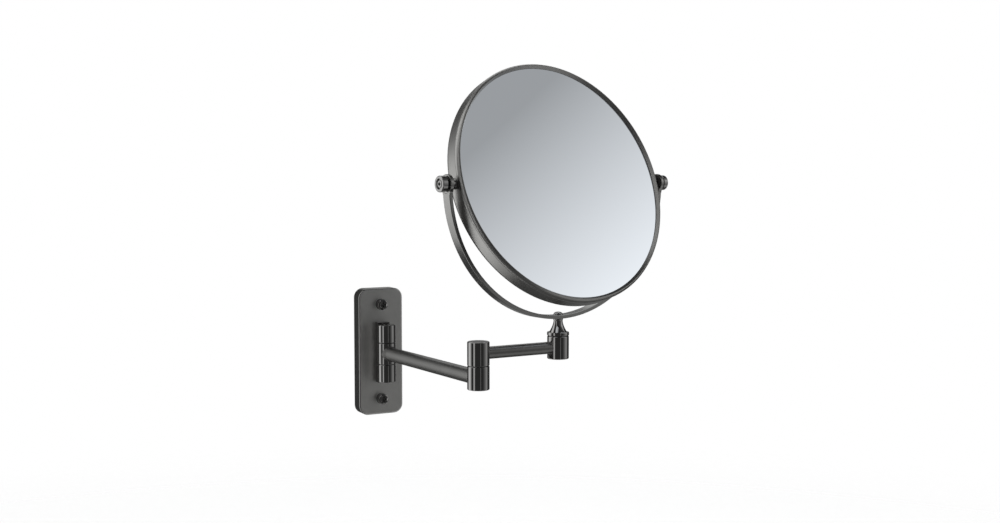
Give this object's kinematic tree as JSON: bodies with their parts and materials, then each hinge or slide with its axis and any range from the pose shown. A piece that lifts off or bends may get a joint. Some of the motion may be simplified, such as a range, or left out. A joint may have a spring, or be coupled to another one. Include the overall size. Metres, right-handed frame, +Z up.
{
  "type": "extendable shaving mirror",
  "caption": "Round double-sided shaving mirror that tilts in a swivelling yoke, carried by a hinged extending arm on an oblong wall plate.",
  "frame": {"origin": "middle of the wall plate's back face, on the wall", "axes": "+X to the right when facing the wall, +Y into the wall, +Z up; the mirror faces -Y"},
  "size_m": [0.2349, 0.2702, 0.3119],
  "materials": {
    "satin_gunmetal": "brushed satin black-nickel plating",
    "polished_gunmetal": "polished black-nickel plating",
    "mirror_glass": "silvered glass",
    "black_nylon": "moulded nylon",
    "zinc_steel": "zinc-plated steel",
    "black_rubber": "closed-cell foam rubber"
  },
  "bodies": {
    "wall_mount": {"wall_gasket": "black_rubber", "wall_plate": "satin_gunmetal", "hinge_bracket": "polished_gunmetal", "bracket_screws": "zinc_steel", "hinge_pin": "polished_gunmetal", "wall_screws": "polished_gunmetal", "screw_washers": "black_nylon"},
    "main_arm": {"main_arm_hinge_barrel": "polished_gunmetal", "hinge_bushes": "black_nylon", "main_arm_tube": "satin_gunmetal", "main_arm_elbow_barrel": "polished_gunmetal", "elbow_pin": "zinc_steel", "elbow_spring_washer": "zinc_steel", "elbow_lock_nut": "zinc_steel"},
    "fore_arm": {"fore_arm_elbow_barrel": "polished_gunmetal", "elbow_bush": "black_nylon", "elbow_cap": "polished_gunmetal", "fore_arm_tube": "satin_gunmetal", "fore_arm_end_barrel": "polished_gunmetal", "swivel_bush": "black_nylon", "end_barrel_plug": "polished_gunmetal"},
    "yoke": {"swivel_post": "polished_gunmetal", "swivel_spring_washer": "zinc_steel", "swivel_lock_nut": "zinc_steel", "yoke_strap": "satin_gunmetal", "yoke_cap_nut": "polished_gunmetal", "eye_bushes": "black_nylon"},
    "mirror": {"frame_band": "satin_gunmetal", "front_bezel": "satin_gunmetal", "front_glass": "mirror_glass", "rear_glass": "mirror_glass", "glass_pad": "black_rubber", "pivot_bosses": "polished_gunmetal", "pivot_screws": "zinc_steel", "pivot_knobs": "polished_gunmetal"}
  },
  "joints": [
    {"name": "wall_hinge", "type": "hinge", "parent": "wall_mount", "child": "main_arm", "pos_m": [0, -0.0275, 0], "axis": [0, 0, 1], "range_deg": [-93.6, 86.4]},
    {"name": "elbow", "type": "hinge", "parent": "main_arm", "child": "fore_arm", "pos_m": [0.01036, -0.19217, 0.0195], "axis": [0, 0, 1], "continuous": true},
    {"name": "head_swivel", "type": "hinge", "parent": "fore_arm", "child": "yoke", "pos_m": [0.08626, -0.1882, 0.0195], "axis": [0, 0, 1], "continuous": true},
    {"name": "mirror_tilt", "type": "hinge", "parent": "yoke", "child": "mirror", "pos_m": [0.08626, -0.1882, 0.155], "axis": [0.9885, 0.1513, 0], "continuous": true}
  ]
}
